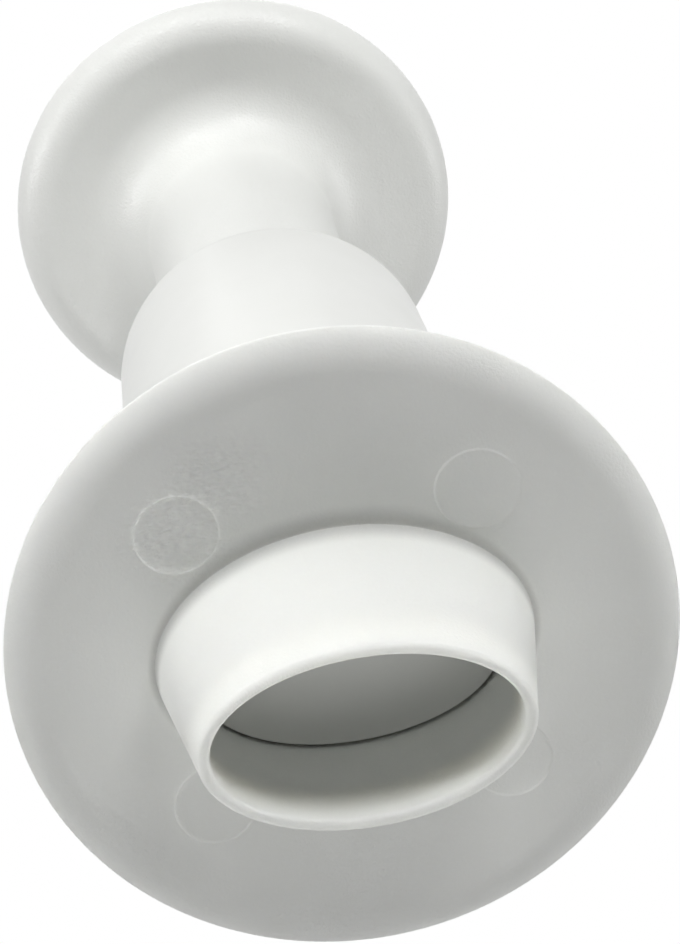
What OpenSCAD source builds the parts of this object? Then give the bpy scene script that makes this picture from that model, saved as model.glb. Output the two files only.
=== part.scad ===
// Oval plunger cutter for rolled paste, standing on its cutting rim.
// The frame's origin is the centre of the rim, +Z runs up to the knob, +X along the long axis of the oval.

/* [Cutting oval] */
// Outer length of the oval at the cutting rim
rim_len = 16.7; // [12:0.1:24]
// Outer width of the oval at the cutting rim
rim_wid = 9.8; // [7.5:0.1:12]
// Thickness of the wall at the cutting rim
rim_wall = 0.65; // [0.4:0.05:1]
// Outer length of the oval where it meets the flange
foot_len = 19.2; // [17:0.1:26]
// Outer width of the oval where it meets the flange
foot_wid = 13.1; // [10:0.1:18]
// Height of the oval wall below the lowest face of the flange
wall_h = 9.9; // [9:0.1:16]

/* [Flange] */
// Diameter of the finger flange
flange_d = 34.1; // [30:0.1:50]
// Thickness of the flange
flange_t = 1.9; // [1.6:0.1:4]
// Width of the flange's rounded edge, seen from below
edge_w = 2; // [1:0.1:3]
// Depth of the shallow hollow in the flange's underside
hollow_deep = 0.5; // [0:0.05:0.8]
// Radius inside which the hollow is at its full depth
hollow_r = 6.5; // [3:0.1:9]
// Distance from the axis to each moulding mark
mark_r = 10.7; // [9.5:0.1:12]
// Turn of the four moulding marks about the axis, in degrees
mark_turn = 0.9; // [-3:0.1:3]
// Diameter of a moulding mark
mark_d = 4.5; // [3:0.1:5]
// Width of the raised ring of a moulding mark
mark_w = 0.25; // [0.1:0.05:0.4]
// Height of the raised ring of a moulding mark
mark_h = 0.03; // [0.02:0.01:0.2]

/* [Barrel] */
// Outer diameter of the barrel just under its shoulder
barrel_d = 17.7; // [16:0.1:20]
// Outer diameter of the barrel where it stands on the flange
barrel_foot_d = 20.9; // [20:0.1:24]
// Height of the barrel above the flange
barrel_h = 36.3; // [32:0.1:45]
// Radius of the rounded shoulder
shoulder_r = 1.9; // [0.8:0.1:2.4]
// Thickness of the barrel wall under the shoulder
barrel_wall = 1.6; // [1.2:0.1:2]
// Thickness of the top wall that guides the neck
top_wall = 2.6; // [2:0.1:4]
// Height of the spigot that holds the barrel on the flange
spigot_h = 4; // [2:0.1:6]
// Thickness of the spigot wall
spigot_wall = 1.6; // [1:0.1:2.4]

/* [Plunger] */
// Diameter of the neck that slides in the barrel
neck_d = 11.4; // [9:0.1:12]
// Diameter of the knob
knob_d = 26.9; // [24:0.1:32]
// Thickness of the knob's rim
knob_t = 3.2; // [2.6:0.1:5]
// Radius of the knob's lower edge
low_edge_r = 2.2; // [1:0.1:2.4]
// Width of the knob's upper edge rounding
top_edge_w = 1.2; // [0.5:0.1:1.6]
// Radius of the fillet between the neck and the knob
fillet_r = 3.4; // [1:0.1:4.4]
// Clear length of neck between the barrel and the fillet
neck_show = 20.6; // [14:0.1:26]
// Depth of the thumb dish in the top of the knob
dish_deep = 0.9; // [0.4:0.1:1.4]
// Radius of the thumb dish at the top of the knob
dish_r = 10.4; // [8:0.1:10.6]
// Length of neck inside the barrel at rest
neck_in = 14; // [11:0.1:18]

/* [Ejector plate] */
// Depth of the plate's face behind the cutting rim at rest
plate_deep = 7.8; // [6:0.1:8]
// Thickness of the plate
plate_t = 1.8; // [1.2:0.1:2]
// Gap between the edge of the plate and the oval wall
plate_gap = 0.2; // [0.15:0.01:0.3]
// Gap between the back of the plate and the flange at rest
back_gap = 0.2; // [0.1:0.01:0.4]
// Diameter of the stem that carries the plate
stem_d = 4; // [3.6:0.1:4.4]
// How far the plate comes out past the rim at full press
proud = 0.7; // [0:0.1:1.5]
// Height of the upper end of the stem's socket above the barrel
socket_rise = 12; // [8:0.5:20]
// Length of the socket that grips the stem
grip_len = 9; // [6:0.1:12]

/* [Return spring] */
// Diameter of the spring wire
wire_d = 0.7; // [0.5:0.05:0.8]
// Diameter of the spring at the middle of its wire
coil_d = 7; // [6.9:0.05:7.6]
// Number of turns
turns = 8; // [5:1:8]

/* [Fits] */
// Gap round the stem and round the neck in their guides
guide_gap = 0.06; // [0.02:0.01:0.1]
// Gap round the stem where the neck only clears it
relief_gap = 0.35; // [0.2:0.05:0.6]
// Gap between the spring and the boss that it stands round
coil_gap = 0.25; // [0.1:0.05:0.4]
// Gap at each end of the spring
end_gap = 0.05; // [0.02:0.01:0.2]
// Gap over the stem in its socket
stem_end_gap = 0.5; // [0.2:0.1:1]
// Gap between the neck and the boss that stops it, at full press
stop_gap = 0.3; // [0.1:0.05:0.6]

/* [Hidden] */
$fn = 96;
flange_low = wall_h;
flange_top = flange_low + flange_t;
wall_top = flange_low + hollow_deep;
flat_r = flange_d / 2 - edge_w;
hollow_slope = hollow_deep / (flat_r - hollow_r);
barrel_top = flange_top + barrel_h;
rim_in_a = rim_len / 2 - rim_wall;
rim_in_b = rim_wid / 2 - rim_wall;
plate_top = plate_deep + plate_t;
pocket_top = plate_top + back_gap;
stroke = plate_deep + proud;
spigot_r = barrel_foot_d / 2 - barrel_wall;
neck_low = barrel_top - neck_in;
guide_boss_top = neck_low - stroke - stop_gap;
guide_boss_r = (coil_d - wire_d) / 2 - coil_gap;
knob_low = barrel_top + neck_show + fillet_r;
knob_top = knob_low + knob_t;
socket_top = barrel_top + socket_rise;
stem_top = socket_top - stem_end_gap;
dish_ball_r = (dish_r * dish_r + dish_deep * dish_deep) / (2 * dish_deep);
spring_low = flange_top + wire_d / 2 + end_gap;
spring_high = neck_low - wire_d / 2 - end_gap;
// How far joined shapes run into each other
sink = 0.5;
// How far a cut runs past the face that it opens
over = 1;
// Step between the barrel's hollow and the wider seat of the spigot
seat_step = 0.01;
// Steps round an oval and round a quarter of an edge
oval_steps = 120;
edge_steps = 10;
// Rings in a turn of the spring and sides of its wire
coil_rings = 8;
wire_sides = 6;

function ellipse(a, b) = [for (i = [0:oval_steps - 1])
    let (t = 360 * i / oval_steps) [a * cos(t), b * sin(t)]];
function ring_at(points, z) = [for (p = points) [p[0], p[1], z]];

// A wall that changes evenly from one oval to a larger one above it
module oval_loft(a0, b0, z0, a1, b1, z1) {
    n = oval_steps;
    points = concat(ring_at(ellipse(a0, b0), z0), ring_at(ellipse(a1, b1), z1));
    sides = [for (i = [0:n - 1]) [i, n + i, n + (i + 1) % n, (i + 1) % n]];
    low = [[for (i = [0:n - 1]) i]];
    high = [[for (i = [0:n - 1]) 2 * n - 1 - i]];
    polyhedron(points = points, faces = concat(sides, low, high), convexity = 4);
}

module oval_prism(a, b, z0, z1) {
    translate([0, 0, z0]) linear_extrude(z1 - z0) polygon(ellipse(a, b));
}

// Quarter of an oval edge about the point (r, z), a wide and b high, without its first point
function edge_points(r, z, a, b, start, end) = [for (i = [1:edge_steps])
    let (t = start + (end - start) * i / edge_steps) [r + a * cos(t), z + b * sin(t)]];

module flange_disc() {
    mid = flange_low + flange_t / 2;
    rotate_extrude()
        polygon(concat([[0, wall_top], [hollow_r, wall_top], [flat_r, flange_low]],
                       edge_points(flat_r, mid, edge_w, flange_t / 2, -90, 0),
                       edge_points(flat_r, mid, edge_w, flange_t / 2, 0, 90),
                       [[0, flange_top]]));
}

// Raised rings that lie on the slope of the hollow
module moulding_marks() {
    for (corner = [45:90:315])
        rotate(corner + mark_turn)
            translate([mark_r, 0, flange_low + hollow_slope * (flat_r - mark_r)])
                rotate([0, atan(hollow_slope), 0])
                    difference() {
                        translate([0, 0, -mark_h]) cylinder(h = mark_h + sink, d = mark_d);
                        translate([0, 0, -mark_h - over])
                            cylinder(h = mark_h + sink + 2 * over, d = mark_d - 2 * mark_w);
                    }
}

module cutter_base() color([0.93, 0.93, 0.91])
    difference() {
        union() {
            flange_disc();
            oval_loft(rim_len / 2, rim_wid / 2, 0, foot_len / 2, foot_wid / 2, wall_top);
            oval_prism(foot_len / 2, foot_wid / 2, wall_top, wall_top + sink);
            moulding_marks();
            translate([0, 0, flange_top - sink])
                cylinder(h = guide_boss_top - flange_top + sink, r = guide_boss_r);
            translate([0, 0, flange_top - sink])
                difference() {
                    cylinder(h = spigot_h + sink, r = spigot_r);
                    cylinder(h = spigot_h + sink + over, r = spigot_r - spigot_wall);
                }
        }
        oval_prism(rim_in_a, rim_in_b, -over, pocket_top);
        translate([0, 0, pocket_top - over])
            cylinder(h = guide_boss_top - pocket_top + 2 * over, r = stem_d / 2 + guide_gap);
    }

// Half section of the barrel's outside, from its foot up and over the shoulder
function barrel_section() = concat(
    [[0, flange_top], [barrel_foot_d / 2, flange_top], [barrel_d / 2, barrel_top - shoulder_r]],
    edge_points(barrel_d / 2 - shoulder_r, barrel_top - shoulder_r, shoulder_r, shoulder_r, 0, 90),
    [[0, barrel_top]]);

module barrel() color([0.94, 0.94, 0.93])
    difference() {
        rotate_extrude() polygon(barrel_section());
        translate([0, 0, flange_top - over]) cylinder(h = spigot_h + over, r = spigot_r);
        translate([0, 0, flange_top])
            cylinder(h = barrel_h - top_wall, r1 = spigot_r - seat_step, r2 = barrel_d / 2 - barrel_wall);
        translate([0, 0, flange_top]) cylinder(h = barrel_h + over, r = neck_d / 2 + guide_gap);
    }

// Half section of the knob and its neck, from the lower end of the neck out and up to the top
function knob_section() = concat(
    [[0, neck_low], [neck_d / 2, neck_low], [neck_d / 2, knob_low - fillet_r]],
    edge_points(neck_d / 2 + fillet_r, knob_low - fillet_r, fillet_r, fillet_r, 180, 90),
    [[knob_d / 2 - low_edge_r, knob_low]],
    edge_points(knob_d / 2 - low_edge_r, knob_low + low_edge_r, low_edge_r, low_edge_r, -90, 0),
    edge_points(knob_d / 2 - top_edge_w, knob_low + low_edge_r, top_edge_w, knob_t - low_edge_r, 0, 90),
    [[0, knob_top]]);

module plunger_knob() color([0.93, 0.93, 0.92])
    difference() {
        rotate_extrude() polygon(knob_section());
        translate([0, 0, neck_low - over]) cylinder(h = socket_top - neck_low + over, r = stem_d / 2);
        translate([0, 0, neck_low - over])
            cylinder(h = socket_top - grip_len - neck_low + over, r = stem_d / 2 + relief_gap);
        translate([0, 0, knob_top - dish_deep + dish_ball_r]) sphere(r = dish_ball_r, $fn = 180);
    }

module ejector_plate() color([0.86, 0.87, 0.86]) {
    oval_prism(rim_in_a - plate_gap, rim_in_b - plate_gap, plate_deep, plate_top);
    translate([0, 0, plate_top - sink]) cylinder(h = stem_top - plate_top + sink, r = stem_d / 2);
}

function coil_point(k) = let (u = k / (turns * coil_rings), t = 360 * k / coil_rings)
    [coil_d / 2 * cos(t), coil_d / 2 * sin(t), spring_low + u * (spring_high - spring_low)];
function wire_ring(k) = let (t = 360 * k / coil_rings, p = coil_point(k))
    [for (j = [0:wire_sides - 1]) let (s = 360 * j / wire_sides)
        p + wire_d / 2 * [cos(s) * cos(t), cos(s) * sin(t), sin(s)]];
pitch = (spring_high - spring_low) / turns;
echo(least_gap_of_spring_to_itself = pitch - wire_d);

// One unbroken wire: rings of points along the coil, joined by triangles
module return_spring() color([0.7, 0.71, 0.73]) {
    last = turns * coil_rings;
    m = wire_sides;
    points = [for (k = [0:last]) each wire_ring(k)];
    skin = [for (k = [0:last - 1], j = [0:m - 1], half = [0, 1])
        half == 0 ? [k * m + j, (k + 1) * m + j, (k + 1) * m + (j + 1) % m]
                  : [k * m + j, (k + 1) * m + (j + 1) % m, k * m + (j + 1) % m]];
    low_cap = [for (j = [1:m - 2]) [0, j, j + 1]];
    high_cap = [for (j = [1:m - 2]) [last * m, last * m + j + 1, last * m + j]];
    polyhedron(points = points, faces = concat(skin, low_cap, high_cap), convexity = 10);
}

cutter_base();
barrel();
plunger_knob();
ejector_plate();
return_spring();
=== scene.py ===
"""An oval plunger cutter in white moulded plastic, seen from its cutting end.

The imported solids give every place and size. Each moulding is built again here as one smooth skin
of oval or round rings, with the small edge rounds, grain and moulding marks that the real one shows.
"""
import math

import bmesh
import bpy
from mathutils import Matrix, Vector
from mathutils.geometry import delaunay_2d_cdt

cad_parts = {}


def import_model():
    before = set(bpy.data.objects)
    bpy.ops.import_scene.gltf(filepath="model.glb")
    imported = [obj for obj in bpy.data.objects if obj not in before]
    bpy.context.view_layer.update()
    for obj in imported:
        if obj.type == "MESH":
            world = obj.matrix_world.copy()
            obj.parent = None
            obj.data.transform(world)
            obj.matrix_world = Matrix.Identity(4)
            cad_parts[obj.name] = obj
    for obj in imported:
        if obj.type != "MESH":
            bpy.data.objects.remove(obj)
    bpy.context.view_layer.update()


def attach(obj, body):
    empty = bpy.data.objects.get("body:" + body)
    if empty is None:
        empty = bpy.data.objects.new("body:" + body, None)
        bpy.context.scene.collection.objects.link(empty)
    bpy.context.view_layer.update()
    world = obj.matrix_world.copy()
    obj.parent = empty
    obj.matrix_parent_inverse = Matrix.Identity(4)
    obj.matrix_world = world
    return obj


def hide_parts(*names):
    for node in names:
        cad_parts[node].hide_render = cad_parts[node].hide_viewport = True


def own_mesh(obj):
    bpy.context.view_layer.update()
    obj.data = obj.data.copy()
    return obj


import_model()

MM = 0.001
TURN = 2 * math.pi

# Sizes of the real object, in millimetres, as in the part's source
RIM_LEN, RIM_WID, RIM_WALL = 16.7, 9.8, 0.65
FOOT_LEN, FOOT_WID, WALL_H = 19.2, 13.1, 9.9
FLANGE_D, FLANGE_T, EDGE_W = 34.1, 1.9, 2.0
HOLLOW_DEEP, HOLLOW_R = 0.5, 6.5
MARK_R, MARK_TURN, MARK_D, MARK_W = 10.7, 0.9, 4.5, 0.25
BARREL_D, BARREL_FOOT_D, BARREL_H = 17.7, 20.9, 36.3
SHOULDER_R, BARREL_WALL, TOP_WALL = 1.9, 1.6, 2.6
SPIGOT_H, SPIGOT_WALL = 4.0, 1.6
NECK_D, KNOB_D, KNOB_T = 11.4, 26.9, 3.2
LOW_EDGE_R, TOP_EDGE_W, FILLET_R = 2.2, 1.2, 3.4
NECK_SHOW, NECK_IN, SOCKET_RISE = 20.6, 14.0, 12.0
DISH_DEEP, DISH_R = 0.9, 10.4
PLATE_DEEP, PLATE_T, PLATE_GAP, BACK_GAP = 7.8, 1.8, 0.2, 0.2
STEM_D, GRIP_LEN, RELIEF_GAP, GUIDE_GAP = 4.0, 9.0, 0.35, 0.06
WIRE_D, COIL_D, TURNS, STROKE = 0.7, 7.0, 8, 8.5
COIL_GAP, END_GAP, STEM_END_GAP, STOP_GAP = 0.25, 0.05, 0.5, 0.3

FLAT_R = FLANGE_D / 2 - EDGE_W
FLANGE_TOP = WALL_H + FLANGE_T
BARREL_TOP = FLANGE_TOP + BARREL_H
NECK_LOW = BARREL_TOP - NECK_IN
BOSS_TOP = NECK_LOW - STROKE - STOP_GAP
SOCKET_TOP = BARREL_TOP + SOCKET_RISE
KNOB_LOW = BARREL_TOP + NECK_SHOW + FILLET_R
KNOB_TOP = KNOB_LOW + KNOB_T
PLATE_TOP = PLATE_DEEP + PLATE_T
POCKET_TOP = PLATE_TOP + BACK_GAP

# Each moulding mark: its corner in degrees, how far its face stands out, and how far its ring does
MARKS = [(225, 0.0, 0.045), (315, 0.055, 0.015), (135, -0.05, 0.04), (45, -0.045, 0.02)]

# Half the width of a mark's ring
RING_W = 0.1

# Painted shade in the corner at the wall's foot: how dark it makes the base colour there, and how far it
# reaches up the wall
PAINTED_CORNER_SHADE, PAINTED_CORNER_W = 0.68, 1.5

# How much the flange's underside rises towards the middle, for each millimetre
HOLLOW_SLOPE = HOLLOW_DEEP / (FLAT_R - HOLLOW_R)

# Middles of the two patches of the underside where the mould left short strokes
STREAKED = [(-7.45, -7.68), (-4.95, -10.2)]

# How finely round things are divided, and how close a ring stands to the end of a straight stretch
SEGMENTS = 320
HOLD = 0.04
WELD = 0.002


def grey(level, warmth=0):
    """A screen grey from 0 to 255 in linear light, a little creamy if warm, with alpha."""
    def linear(c):
        c = c / 255
        return c / 12.92 if c <= 0.04045 else ((c + 0.055) / 1.055) ** 2.4
    return (linear(level - warmth * 0.3), linear(level), linear(level - warmth), 1.0)


# Meshes

def arc(offset, z, width, start, end, steps, height=None):
    """Points (offset, z) on a round or oval arc, from one angle to another in degrees."""
    points = []
    for i in range(steps + 1):
        t = math.radians(start + (end - start) * i / steps)
        points.append((offset + width * math.cos(t), z + (height or width) * math.sin(t)))
    return points


def loop(a, b, z, segments=SEGMENTS):
    """Points round an oval. The height z is a number, or a function of x and y."""
    points = []
    for k in range(segments):
        t = TURN * k / segments
        x, y = a * math.cos(t), b * math.sin(t)
        points.append((x, y, z(x, y) if callable(z) else z))
    return points


def round_loops(profile):
    return [loop(r, r, z) for r, z in profile]


def oval_loops(a, b, profile):
    """Loops that stand off an oval of half axes a and b by each point's offset."""
    return [loop(a + offset, b + offset, z) for offset, z in profile]


def soft_corner(r, z, width, height, turn, small, steps):
    """Points on a corner from level to upright: a wide arc, a straight slope at the turn and a small arc."""
    t = math.radians(turn)
    s, c = math.sin(t), math.cos(t)
    wide = (s * width - c * height + (1 - s) * small) / (1 - c)
    points = arc(r, z + wide, wide, -90, turn - 90, steps)
    return points + arc(r + width - small, z + height, small, turn - 90, 0, steps)


def held(loops):
    """Adds a loop close to both ends of each long stretch, so that it shades as straight as it is."""
    result = []
    for here, there in zip(loops, loops[1:]):
        result.append(here)
        gap = math.dist(here[0], there[0])
        if gap > 6 * HOLD:
            for share in (HOLD / gap, 1 - HOLD / gap):
                result.append([tuple(u + (v - u) * share for u, v in zip(p, q)) for p, q in zip(here, there)])
    return result + [loops[-1]]


def strip(loops, capped=False):
    """Vertices and faces that join loops of equal length, with both ends capped or left open."""
    loops = held(loops)
    count = len(loops[0])
    verts = [point for points in loops for point in points]
    faces = []
    for i in range(len(loops) - 1):
        low, high = i * count, (i + 1) * count
        for k in range(count):
            n = (k + 1) % count
            faces.append((low + k, low + n, high + n, high + k))
    if capped:
        faces.append(tuple(range(count)))
        faces.append(tuple(range(len(verts) - count, len(verts))))
    return verts, faces


def smooth_piece(name, shapes, weld=False):
    """One smooth piece of several shapes in millimetres, whose open edges are welded where they meet."""
    verts = []
    faces = []
    for some_verts, some_faces in shapes:
        first = len(verts)
        verts += [tuple(c * MM for c in point) for point in some_verts]
        faces += [tuple(first + k for k in face) for face in some_faces]
    mesh = bpy.data.meshes.new(name)
    mesh.from_pydata(verts, [], faces)
    work = bmesh.new()
    work.from_mesh(mesh)
    if weld:
        bmesh.ops.remove_doubles(work, verts=work.verts, dist=WELD * MM)
    bmesh.ops.recalc_face_normals(work, faces=work.faces)
    for face in work.faces:
        face.smooth = True
    work.to_mesh(mesh)
    work.free()
    piece = bpy.data.objects.new(name, mesh)
    bpy.context.scene.collection.objects.link(piece)
    return piece


# Materials

class Shader:
    """A material in the making: a Principled surface and short calls that feed it."""

    def __init__(self, name):
        self.material = bpy.data.materials.new(name)
        self.material.use_nodes = True
        self.nodes = self.material.node_tree.nodes
        self.links = self.material.node_tree.links
        self.surface = self.nodes["Principled BSDF"]
        self.place = self.nodes.new("ShaderNodeTexCoord").outputs["Object"]

    def feed(self, name, value):
        self.links.new(value, self.surface.inputs[name])

    def noise(self, scale, detail=2.0, roughness=0.5, place=None):
        node = self.nodes.new("ShaderNodeTexNoise")
        node.inputs["Scale"].default_value = scale
        node.inputs["Detail"].default_value = detail
        node.inputs["Roughness"].default_value = roughness
        self.links.new(place or self.place, node.inputs["Vector"])
        return node.outputs["Fac"]

    def ranged(self, value, start, end, low=0.3, high=0.7, curve="LINEAR"):
        node = self.nodes.new("ShaderNodeMapRange")
        node.interpolation_type = curve
        for name, number in (("From Min", low), ("From Max", high), ("To Min", start), ("To Max", end)):
            node.inputs[name].default_value = number
        self.links.new(value, node.inputs["Value"])
        return node.outputs["Result"]

    def put(self, socket, value):
        """Sets a socket to a number or a colour, or links it to what another node gives."""
        if isinstance(value, bpy.types.NodeSocket):
            self.links.new(value, socket)
        else:
            socket.default_value = value

    def blend(self, value, a, b, how="MIX"):
        node = self.nodes.new("ShaderNodeMix")
        node.data_type = "RGBA"
        node.blend_type = how
        for name, given in (("Factor", value), ("A", a), ("B", b)):
            self.put(node.inputs[name], given)
        return node.outputs["Result"]

    def calc(self, operation, *values):
        node = self.nodes.new("ShaderNodeMath")
        node.operation = operation
        for socket, value in zip(node.inputs, values):
            self.put(socket, value)
        return node.outputs["Value"]

    def scaled(self, scale, offset=(0, 0, 0)):
        """The place on the piece, scaled along each axis and then moved."""
        node = self.nodes.new("ShaderNodeVectorMath")
        node.operation = "MULTIPLY_ADD"
        for socket, value in zip(node.inputs, (self.place, scale, offset)):
            self.put(socket, value)
        return node.outputs["Vector"]

    def dot(self, direction):
        """How far the place on the piece lies along a direction."""
        node = self.nodes.new("ShaderNodeVectorMath")
        node.operation = "DOT_PRODUCT"
        self.put(node.inputs[0], self.place)
        self.put(node.inputs[1], direction)
        return node.outputs["Value"]

    def length(self, vector):
        node = self.nodes.new("ShaderNodeVectorMath")
        node.operation = "LENGTH"
        self.links.new(vector, node.inputs[0])
        return node.outputs["Value"]

    def bump(self, height, strength, distance, under=None):
        node = self.nodes.new("ShaderNodeBump")
        node.inputs["Strength"].default_value = strength
        node.inputs["Distance"].default_value = distance
        self.links.new(height, node.inputs["Height"])
        if under is not None:
            self.links.new(under, node.inputs["Normal"])
        return node.outputs["Normal"]


def from_foot(s):
    """Distance in metres from the wall's foot, for the painted corner shade: up the wall, or across the
    flange with a share of it.
    """
    a, b = FOOT_LEN / 2 * MM, FOOT_WID / 2 * MM
    share = s.length(s.scaled((1 / a, 1 / b, 0)))
    slope = s.length(s.scaled((1 / a ** 2, 1 / b ** 2, 0)))
    across = s.calc("DIVIDE", s.calc("MULTIPLY", s.calc("SUBTRACT", share, 1.0), share), slope)
    # Across the flange the distance is stretched 3.5 times, falling to 1.2 times towards -Y, so the painted
    # shade reaches further there, standing in for the wall's shadow of light from +Y.
    times = s.ranged(s.dot((0, -1, 0)), 3.5, 1.2, 0.001, 0.007)
    across = s.calc("MAXIMUM", s.calc("MULTIPLY", across, times), 0.0)
    radius = s.length(s.scaled((1, 1, 0)))
    height = s.calc("MULTIPLY_ADD", radius, HOLLOW_SLOPE, s.dot((0, 0, 1)))
    along = s.calc("SUBTRACT", height, (WALL_H + HOLLOW_SLOPE * FLAT_R) * MM)
    return s.calc("SQRT", s.calc("ADD", s.calc("MULTIPLY", across, across), s.calc("MULTIPLY", along, along)))


def streaks(s):
    """Height of the short strokes that the mould left in and beside the first mark."""
    near = []
    for x, y in STREAKED:
        away = s.length(s.scaled((1, 1, 0), (-x * MM, -y * MM, 0)))
        near.append(s.ranged(away, 1.0, 0.0, 0.0006, 0.0034))
    strokes = s.noise(1.0, 1.0, place=s.scaled((1800, 4500, 1500)))
    return s.calc("MULTIPLY", strokes, s.calc("MAXIMUM", *near))


def white_plastic(name, level, roughness, grain, grain_scale, cutter=False, specks=False):
    """White plastic whose grain is as strong and as fine as given, with slow changes of tone and gloss.

    The cutter's also has painted shade in its colour, in the corner at the wall's foot, the mould's strokes
    beside one mark, and a thin wall that light gets into. Specks are tiny spots that shine more, so they
    sparkle.
    """
    s = Shader(name)
    tone = s.blend(s.noise(90.0, 3.0), grey(level - 3, 4), grey(level + 2, 3))
    gloss = s.ranged(s.noise(420.0, 4.0), roughness - 0.05, roughness + 0.07)
    if specks:
        s.feed("Specular IOR Level", s.ranged(s.noise(5500.0, 1.0), 0.5, 1.0, 0.56, 0.64))
    normal = s.bump(s.noise(grain_scale, 2.0, 0.6), grain, 0.00006)
    normal = s.bump(s.noise(160.0, 1.0), 0.05, 0.0002, under=normal)
    if cutter:
        # Painted shade: the base colour darkens in the corner at the wall's foot, standing in for the shade
        # there.
        shade = s.ranged(from_foot(s), PAINTED_CORNER_SHADE, 1.0, 0.0, PAINTED_CORNER_W * MM, "SMOOTHSTEP")
        tone = s.blend(1.0, tone, shade, how="MULTIPLY")
        normal = s.bump(streaks(s), 1.0, 0.00028, under=normal)
        s.surface.subsurface_method = "BURLEY"
        s.surface.inputs["Subsurface Weight"].default_value = 1.0
        s.surface.inputs["Subsurface Radius"].default_value = (1.0, 0.97, 0.88)
        s.feed("Subsurface Scale", s.ranged(s.dot((0, 0, 1)), 0.003, 0.0005, 0.0005, 0.004))
    s.feed("Base Color", tone)
    s.feed("Roughness", gloss)
    s.feed("Normal", normal)
    s.surface.inputs["IOR"].default_value = 1.49
    return s.material


def spring_wire():
    s = Shader("wire")
    s.surface.inputs["Metallic"].default_value = 1.0
    s.feed("Base Color", s.blend(s.noise(600.0), grey(152), grey(198)))
    s.feed("Roughness", s.ranged(s.noise(2500.0), 0.25, 0.4))
    s.feed("Normal", s.bump(s.noise(4000.0), 0.1, 0.00002))
    return s.material


# Pieces

def mark_places():
    """Each mark's middle, and how far its face and its ring stand out."""
    places = []
    for corner, face, ring in MARKS:
        t = math.radians(corner + MARK_TURN)
        places.append((MARK_R * math.cos(t), MARK_R * math.sin(t), face, ring))
    return places


def underside(x, y):
    """Height of the flange's underside: a very shallow cone, with the marks of the moulding pins."""
    z = WALL_H + HOLLOW_SLOPE * (FLAT_R - math.hypot(x, y))
    for mark_x, mark_y, face, ring in mark_places():
        beyond = (math.hypot(x - mark_x, y - mark_y) - (MARK_D - MARK_W) / 2) / RING_W
        if beyond < -1:
            z -= face
        elif beyond < 1:
            z -= face * (1 - math.sin(beyond * math.pi / 2)) / 2
            z -= ring * (1 + math.cos(beyond * math.pi)) / 2
    return z


def underside_patch(inner, outer, a, b):
    """Fills the underside between the wall's foot, of half axes a and b, and the flange's edge."""
    points = []
    edges = []

    def add_loop(loop_points, tied=True):
        first = len(points)
        points.extend(Vector(p[:2]) for p in loop_points)
        if tied:
            count = len(loop_points)
            edges.extend((first + k, first + (k + 1) % count) for k in range(count))

    add_loop(inner)
    add_loop(loop(a + HOLD, b + HOLD, 0))
    add_loop(loop(FLAT_R - HOLD, FLAT_R - HOLD, 0))
    add_loop(outer)
    rows, mark_steps = 14, 96
    reach = (MARK_D + MARK_W) / 2
    places = mark_places()
    for i in range(1, rows):
        share = i / rows
        row = loop(a + (FLAT_R - a) * share, b + (FLAT_R - b) * share, 0, SEGMENTS // 2)
        add_loop([p for p in row if all(math.dist(p[:2], m[:2]) > reach + HOLD for m in places)], tied=False)
    for mark_x, mark_y, face, ring in places:
        for step in range(-4, 5):
            r = (MARK_D - MARK_W) / 2 + RING_W * step / 4
            add_loop([(mark_x + x, mark_y + y) for x, y, z in loop(r, r, 0, mark_steps)])
        for share in (0.3, 0.6, 0.8):
            r = share * MARK_D / 2
            add_loop([(mark_x + x, mark_y + y) for x, y, z in loop(r, r, 0, mark_steps // 3)], tied=False)
    flat, _, triangles, _, _, _ = delaunay_2d_cdt(points, edges, [], 0, 1e-6)
    verts = [(p.x, p.y, underside(p.x, p.y)) for p in flat]
    faces = []
    for triangle in triangles:
        x = sum(flat[k].x for k in triangle) / len(triangle)
        y = sum(flat[k].y for k in triangle) / len(triangle)
        if math.hypot(x / a, y / b) > 1:
            faces.append(tuple(triangle))
    return verts, faces


def cutter_base():
    stem_bore = STEM_D / 2 + GUIDE_GAP
    in_a, in_b = RIM_LEN / 2 - RIM_WALL, RIM_WID / 2 - RIM_WALL
    out_a, out_b = RIM_LEN / 2, RIM_WID / 2
    foot_a, foot_b = FOOT_LEN / 2, FOOT_WID / 2
    corner, edge = 0.25, 0.3
    half_t = FLANGE_T / 2
    spigot = BARREL_FOOT_D / 2 - BARREL_WALL
    boss = (COIL_D - WIRE_D) / 2 - COIL_GAP
    below = round_loops([(boss, BOSS_TOP), (stem_bore, BOSS_TOP), (stem_bore, POCKET_TOP)])
    below += oval_loops(in_a, in_b, arc(-corner, POCKET_TOP - corner, corner, 90, 0, 5))
    below += oval_loops(in_a, in_b, arc(edge, edge, edge, 180, 270, 12))
    below += oval_loops(out_a, out_b, arc(-edge, edge, edge, 270, 360, 12))
    below.append(loop(foot_a, foot_b, underside))
    above = round_loops(soft_corner(FLAT_R, WALL_H, EDGE_W, half_t, 45, 0.15, 20))
    above += round_loops(arc(FLAT_R, WALL_H + half_t, EDGE_W, 0, 90, 20, half_t)[1:])
    above += round_loops([(spigot, FLANGE_TOP), (spigot, FLANGE_TOP + SPIGOT_H)])
    above += round_loops([(spigot - SPIGOT_WALL, FLANGE_TOP + SPIGOT_H), (spigot - SPIGOT_WALL, FLANGE_TOP)])
    above += round_loops([(boss, FLANGE_TOP), (boss, BOSS_TOP)])
    patch = underside_patch(below[-1], above[0], foot_a, foot_b)
    return smooth_piece("cutter_base_skin", [strip(below), patch, strip(above)], weld=True)


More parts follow.
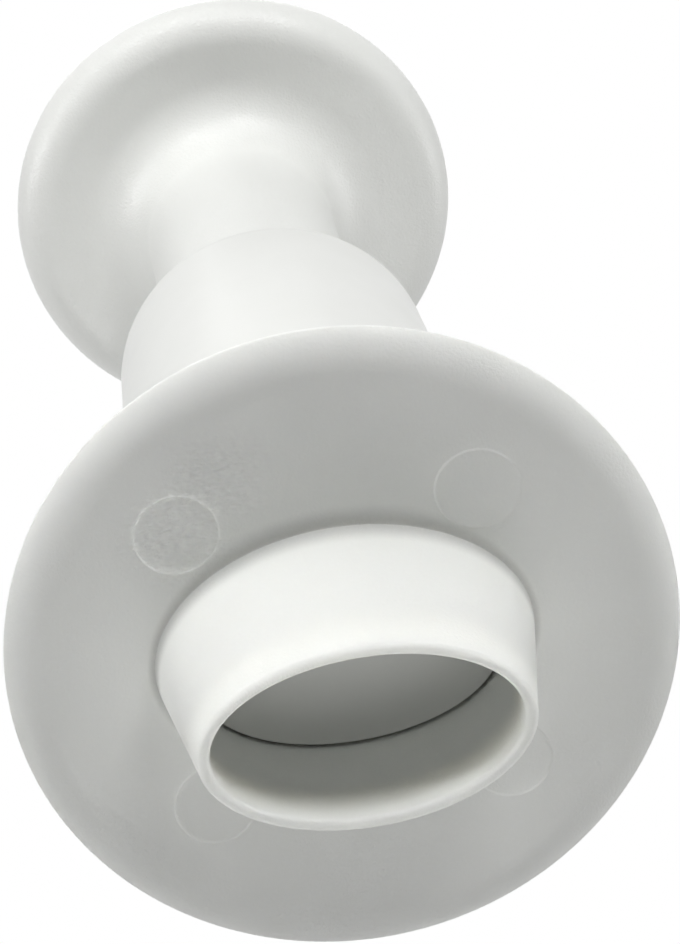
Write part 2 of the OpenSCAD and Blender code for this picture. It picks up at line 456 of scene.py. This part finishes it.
def barrel():
    foot, top = BARREL_FOOT_D / 2, BARREL_D / 2
    bore, edge = NECK_D / 2 + GUIDE_GAP, 0.2
    profile = [(foot, FLANGE_TOP)]
    profile += arc(top - SHOULDER_R, BARREL_TOP - SHOULDER_R, SHOULDER_R, 0, 90, 24)
    profile += arc(bore + edge, BARREL_TOP - edge, edge, 90, 180, 5)
    profile += [(bore, BARREL_TOP - TOP_WALL), (top - BARREL_WALL, BARREL_TOP - TOP_WALL)]
    profile += [(foot - BARREL_WALL, FLANGE_TOP + SPIGOT_H), (foot - BARREL_WALL, FLANGE_TOP)]
    profile.append(profile[0])
    return smooth_piece("barrel_skin", [strip(round_loops(profile))], weld=True)


def dish_arc(steps):
    """The shallow ball-shaped hollow for the thumb, from its rim in to the middle."""
    ball = (DISH_R ** 2 + DISH_DEEP ** 2) / (2 * DISH_DEEP)
    points = []
    for i in range(steps):
        r = DISH_R * (1 - i / steps)
        points.append((r, KNOB_TOP - DISH_DEEP + ball - math.sqrt(ball ** 2 - r ** 2)))
    return points


def plunger_knob():
    neck, grip, edge = NECK_D / 2, STEM_D / 2, 0.3
    socket = SOCKET_TOP - GRIP_LEN
    middle = KNOB_LOW + LOW_EDGE_R
    profile = [(0.1, SOCKET_TOP), (grip, SOCKET_TOP), (grip, socket)]
    profile += [(grip + RELIEF_GAP, socket - RELIEF_GAP), (grip + RELIEF_GAP, NECK_LOW)]
    profile += arc(neck - edge, NECK_LOW + edge, edge, -90, 0, 5)
    profile += arc(neck + FILLET_R, KNOB_LOW - FILLET_R, FILLET_R, 180, 90, 32)
    profile += arc(KNOB_D / 2 - LOW_EDGE_R, middle, LOW_EDGE_R, -90, 0, 32)
    profile += arc(KNOB_D / 2 - TOP_EDGE_W, middle, TOP_EDGE_W, 0, 90, 12, KNOB_T - LOW_EDGE_R)[1:]
    profile += dish_arc(20)
    return smooth_piece("plunger_knob_skin", [strip(round_loops(profile), capped=True)])


def ejector_plate():
    a, b = RIM_LEN / 2 - RIM_WALL - PLATE_GAP, RIM_WID / 2 - RIM_WALL - PLATE_GAP
    stem, edge, chamfer = STEM_D / 2, 0.06, 0.3
    stem_top = SOCKET_TOP - STEM_END_GAP
    loops = [loop(0.1, 0.1, PLATE_DEEP)]
    loops += oval_loops(a, b, arc(-edge, PLATE_DEEP + edge, edge, 270, 360, 5))
    loops += [loop(a, b, PLATE_TOP), loop(stem, stem, PLATE_TOP)]
    loops += round_loops([(stem, stem_top - chamfer), (stem - chamfer, stem_top)])
    return smooth_piece("ejector_plate_skin", [strip(loops, capped=True)])


def return_spring():
    """One unbroken wire, wound round the boss and the stem."""
    low = FLANGE_TOP + WIRE_D / 2 + END_GAP
    high = NECK_LOW - WIRE_D / 2 - END_GAP
    per_turn, sides = 32, 12
    last = TURNS * per_turn
    verts = []
    for k in range(last + 1):
        t = TURN * k / per_turn
        middle = low + (high - low) * k / last
        for j in range(sides):
            s = TURN * j / sides
            r = COIL_D / 2 + WIRE_D / 2 * math.cos(s)
            z = middle + WIRE_D / 2 * math.sin(s)
            verts.append((r * math.cos(t), r * math.sin(t), z))
    faces = [tuple(range(sides)), tuple(range(last * sides, (last + 1) * sides))]
    for k in range(last):
        for j in range(sides):
            n = (j + 1) % sides
            faces.append((k * sides + j, (k + 1) * sides + j, (k + 1) * sides + n, k * sides + n))
    return smooth_piece("return_spring_wire", [(verts, faces)])


def build():
    plan = [
        (cutter_base(), "cutter_base", "cutter", "base_plastic",
         white_plastic("base", 245, 0.46, 0.45, 6500.0, cutter=True, specks=True)),
        # The barrel's level is lower than the base's and knob's: painted shade set against the strong light
        # on its sides.
        (barrel(), "barrel", "cutter", "barrel_plastic", white_plastic("barrel", 236, 0.34, 0.04, 1500.0)),
        (plunger_knob(), "plunger_knob", "plunger", "knob_plastic",
         white_plastic("knob", 248, 0.35, 0.6, 6500.0, specks=True)),
        # The plate's level is lower than the base's and knob's: painted shade for the deep pocket it sits in.
        (ejector_plate(), "ejector_plate", "plunger", "plate_plastic",
         white_plastic("plate", 234, 0.45, 0.12, 2600.0)),
        (return_spring(), "return_spring", "cutter", "spring_steel", spring_wire()),
    ]
    for piece, node, body, slot, material in plan:
        piece.data.materials.clear()
        piece.data.materials.append(material)
        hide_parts(node)
        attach(piece, body)
        if node == "return_spring":
            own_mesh(piece)


# Camera, light and floor

def camera(place, azimuth, elevation, roll, lens):
    """A camera at place in millimetres that looks along the angles given in degrees."""
    data = bpy.data.cameras.new("camera")
    data.sensor_width = 36
    data.lens = lens
    data.clip_start, data.clip_end = 0.01, 10
    a, e = math.radians(azimuth), math.radians(elevation)
    back = Vector((math.sin(a) * math.cos(e), -math.cos(a) * math.cos(e), math.sin(e)))
    turn = (-back).to_track_quat("-Z", "Y").to_matrix() @ Matrix.Rotation(math.radians(roll), 3, "Z")
    holder = bpy.data.objects.new("camera", data)
    holder.matrix_world = Matrix.Translation(Vector(place) * MM) @ turn.to_4x4()
    bpy.context.scene.collection.objects.link(holder)
    bpy.context.scene.camera = holder


def towards(turn, rise):
    """The direction at an angle about Z from +X and at an angle above the rim's plane, in degrees."""
    t, r = math.radians(turn), math.radians(rise)
    return Vector((math.cos(t) * math.cos(r), math.sin(t) * math.cos(r), math.sin(r)))


def lamp(name, turn, rise, distance, size, power, in_gloss=True):
    """A square lamp that shines at the middle of the object, and is seen in its gloss or isn't."""
    data = bpy.data.lights.new(name, "AREA")
    data.size = size
    data.energy = power
    direction = towards(turn, rise)
    holder = bpy.data.objects.new(name, data)
    holder.location = Vector((0, 0, KNOB_TOP / 2 * MM)) + direction * distance
    holder.rotation_euler = direction.to_track_quat("Z", "Y").to_euler()
    holder.visible_glossy = in_gloss
    bpy.context.scene.collection.objects.link(holder)


def world(sides):
    """White where it is seen, directly or in a gloss, and soft light from each side for the rest.

    Each side is the turn and rise of its direction and its strength, which fades out to nothing at
    right angles to it.
    """
    held = bpy.data.worlds.new("world")
    bpy.context.scene.world = held
    held.use_nodes = True
    nodes, links = held.node_tree.nodes, held.node_tree.links
    nodes.clear()
    out = nodes.new("ShaderNodeOutputWorld")
    shown = nodes.new("ShaderNodeBackground")
    light = nodes.new("ShaderNodeBackground")
    shown.inputs["Color"].default_value = (1, 1, 1, 1)
    light.inputs["Color"].default_value = (1, 1, 1, 1)
    ray = nodes.new("ShaderNodeTexCoord").outputs["Generated"]
    total = None
    for turn, rise, strength in sides:
        facing = nodes.new("ShaderNodeVectorMath")
        facing.operation = "DOT_PRODUCT"
        links.new(ray, facing.inputs[0])
        facing.inputs[1].default_value = towards(turn, rise) * strength
        part = nodes.new("ShaderNodeMath")
        part.operation = "MAXIMUM"
        part.inputs[1].default_value = 0.0
        links.new(facing.outputs["Value"], part.inputs[0])
        if total is None:
            total = part.outputs[0]
        else:
            more = nodes.new("ShaderNodeMath")
            more.operation = "ADD"
            links.new(total, more.inputs[0])
            links.new(part.outputs[0], more.inputs[1])
            total = more.outputs[0]
    links.new(total, light.inputs["Strength"])
    path = nodes.new("ShaderNodeLightPath")
    seen = path.outputs["Is Camera Ray"]
    for ray in ("Is Glossy Ray", "Is Transmission Ray"):
        either = nodes.new("ShaderNodeMath")
        either.operation = "MAXIMUM"
        links.new(seen, either.inputs[0])
        links.new(path.outputs[ray], either.inputs[1])
        seen = either.outputs[0]
    mix = nodes.new("ShaderNodeMixShader")
    links.new(seen, mix.inputs["Fac"])
    links.new(light.outputs[0], mix.inputs[1])
    links.new(shown.outputs[0], mix.inputs[2])
    links.new(mix.outputs[0], out.inputs[0])


def floor():
    """A pale floor that shows from above and takes the object's shadow. From below it is clear."""
    half, drop = 0.6, 0.00005
    corners = [(-half, -half, -drop), (half, -half, -drop), (half, half, -drop), (-half, half, -drop)]
    mesh = bpy.data.meshes.new("floor")
    mesh.from_pydata(corners, [], [(0, 1, 2, 3)])
    piece = bpy.data.objects.new("floor", mesh)
    bpy.context.scene.collection.objects.link(piece)
    material = bpy.data.materials.new("floor")
    material.use_nodes = True
    nodes, links = material.node_tree.nodes, material.node_tree.links
    nodes.clear()
    out = nodes.new("ShaderNodeOutputMaterial")
    clear = nodes.new("ShaderNodeBsdfTransparent")
    matte = nodes.new("ShaderNodeBsdfDiffuse")
    matte.inputs["Color"].default_value = grey(236)
    front = nodes.new("ShaderNodeMath")
    front.operation = "SUBTRACT"
    front.inputs[0].default_value = 1.0
    links.new(nodes.new("ShaderNodeNewGeometry").outputs["Backfacing"], front.inputs[1])
    seen = nodes.new("ShaderNodeMath")
    seen.operation = "MULTIPLY"
    links.new(front.outputs[0], seen.inputs[0])
    links.new(nodes.new("ShaderNodeLightPath").outputs["Is Camera Ray"], seen.inputs[1])
    mix = nodes.new("ShaderNodeMixShader")
    links.new(seen.outputs[0], mix.inputs["Fac"])
    links.new(clear.outputs[0], mix.inputs[1])
    links.new(matte.outputs[0], mix.inputs[2])
    links.new(mix.outputs[0], out.inputs[0])
    mesh.materials.append(material)


build()
camera((-8.98, -105.03, -203.44), azimuth=-5.998, elevation=-65.799, roll=-15.187, lens=181.549)
lamp("key", -67.4, -12, 0.5, 0.15, 1.12)
lamp("key_above", -89.4, 12, 0.5, 0.15, 0.3)
lamp("left", -109.4, -6, 0.5, 0.15, 0.64)
lamp("far_left", -139.4, -4, 0.5, 0.15, 0.2)
lamp("side_left", -169.4, -4, 0.5, 0.15, 0.8)
lamp("far_right", -19.4, -4, 0.5, 0.15, 0.15)
lamp("side_right", 10.6, -4, 0.5, 0.15, 0.5)
lamp("below", 92, -60, 0.5, 0.4, 0.66)
lamp("overhead", 0, 90, 0.6, 0.2, 0.5)
lamp("ceiling", 0, 90, 0.7, 0.3, 2.4, in_gloss=False)
world([(0, 90, 0.15), (100.6, 0, 0.28), (100.6, -50, 0.1)])
floor()
bpy.context.scene.view_settings.view_transform = "Standard"
